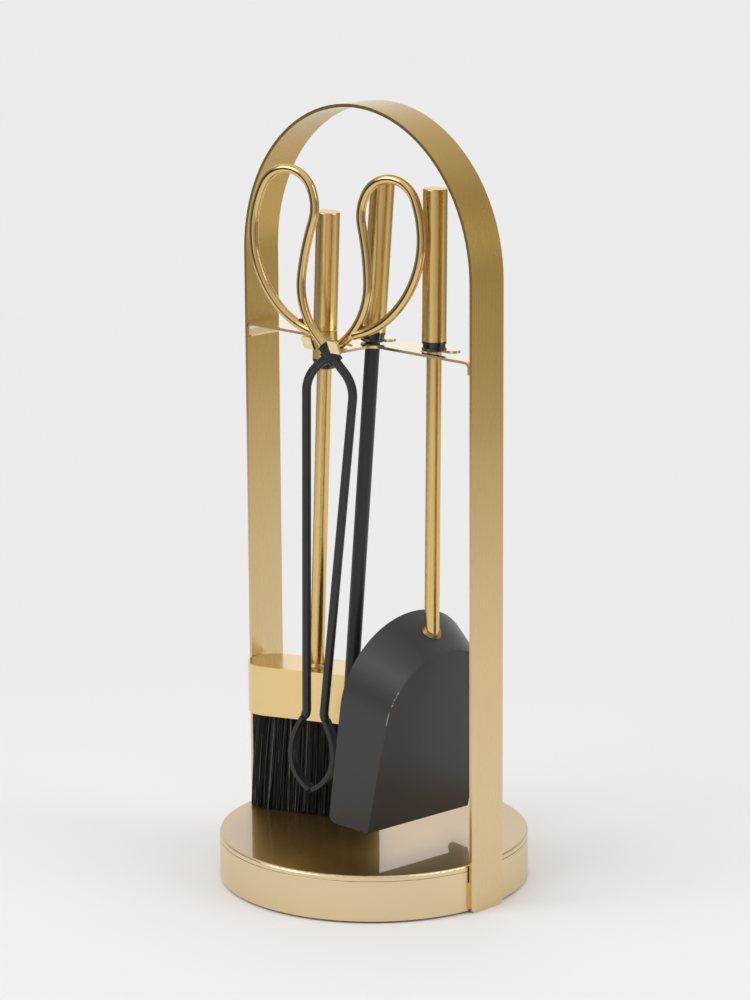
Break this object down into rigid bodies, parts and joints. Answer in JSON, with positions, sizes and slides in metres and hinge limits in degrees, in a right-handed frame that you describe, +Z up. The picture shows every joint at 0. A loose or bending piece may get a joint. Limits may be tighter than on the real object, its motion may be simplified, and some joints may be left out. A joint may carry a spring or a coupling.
{
  "type": "fireplace tool set",
  "caption": "Fireplace tool set: an arched flat-strip stand on a weighted round base holds a shovel, a poker, a hearth brush and ring-handled log tongs.",
  "frame": {"origin": "centre of the underside of the round base, on the floor", "axes": "+Z up; X along the plane of the arch, from the leg beside the brush to the leg beside the shovel; +Y towards the back, away from the tongs"},
  "size_m": [0.2348, 0.23, 0.5774],
  "materials": {
    "floor_pad": "matt black pad",
    "dark_iron": "rough cast and plain plate",
    "bright_steel": "plain zinc",
    "brushed_brass": "satin, brushed along the strip",
    "polished_brass": "bright with fine scratches",
    "satin_brass": "satin tube",
    "cast_brass": "bright, softly rounded",
    "gloss_black": "glossy black",
    "matt_black": "matt black powder coat",
    "pan_charcoal": "fine charcoal powder coat",
    "wood_block": "plain",
    "bristle_fibre": "coarse black fibre"
  },
  "bodies": {
    "stand": {"base_pad": "floor_pad", "base_floor": "dark_iron", "base_screws": "bright_steel", "base_weight": "dark_iron", "base_band": "brushed_brass", "base_cap": "polished_brass", "arch_frame": "brushed_brass", "foot_welds": "polished_brass", "hanger_plate": "polished_brass", "hanger_welds": "polished_brass"},
    "shovel": {"shovel_handle": "satin_brass", "shovel_collar": "gloss_black", "shovel_rod": "satin_brass", "shovel_weld": "polished_brass", "shovel_pan": "pan_charcoal"},
    "poker": {"poker_handle": "satin_brass", "poker_collar": "gloss_black", "poker_rod": "matt_black", "poker_hook": "matt_black"},
    "brush": {"brush_handle": "satin_brass", "brush_collar": "gloss_black", "brush_rod": "satin_brass", "brush_weld": "polished_brass", "brush_ferrule": "polished_brass", "brush_block": "wood_block", "brush_bristles": "bristle_fibre"},
    "tongs_front_arm": {"tongs_loop_left": "cast_brass", "tongs_leg_right": "matt_black", "tongs_washer": "bright_steel", "tongs_rivet": "matt_black"},
    "tongs_back_arm": {"tongs_loop_right": "cast_brass", "tongs_leg_left": "matt_black"}
  },
  "joints": [
    {"name": "shovel_lift", "type": "slide", "parent": "stand", "child": "shovel", "axis": [0.0143, 0, 0.9999], "range_m": [0, 0.02]},
    {"name": "poker_lift", "type": "slide", "parent": "stand", "child": "poker", "axis": [0.0469, 0.048, 0.9977], "range_m": [0, 0.04]},
    {"name": "brush_lift", "type": "slide", "parent": "stand", "child": "brush", "axis": [0.0476, 0, 0.9989], "range_m": [0, 0.06]},
    {"name": "tongs_lift", "type": "slide", "parent": "stand", "child": "tongs_front_arm", "axis": [0, 0, 1], "range_m": [0, 0.003]},
    {"name": "tongs_rivet_turn", "type": "hinge", "parent": "tongs_front_arm", "child": "tongs_back_arm", "pos_m": [0.0031, -0.0426, 0.4025], "axis": [-0.2923, 0.956, -0.0262], "range_deg": [0, 9.5]}
  ]
}
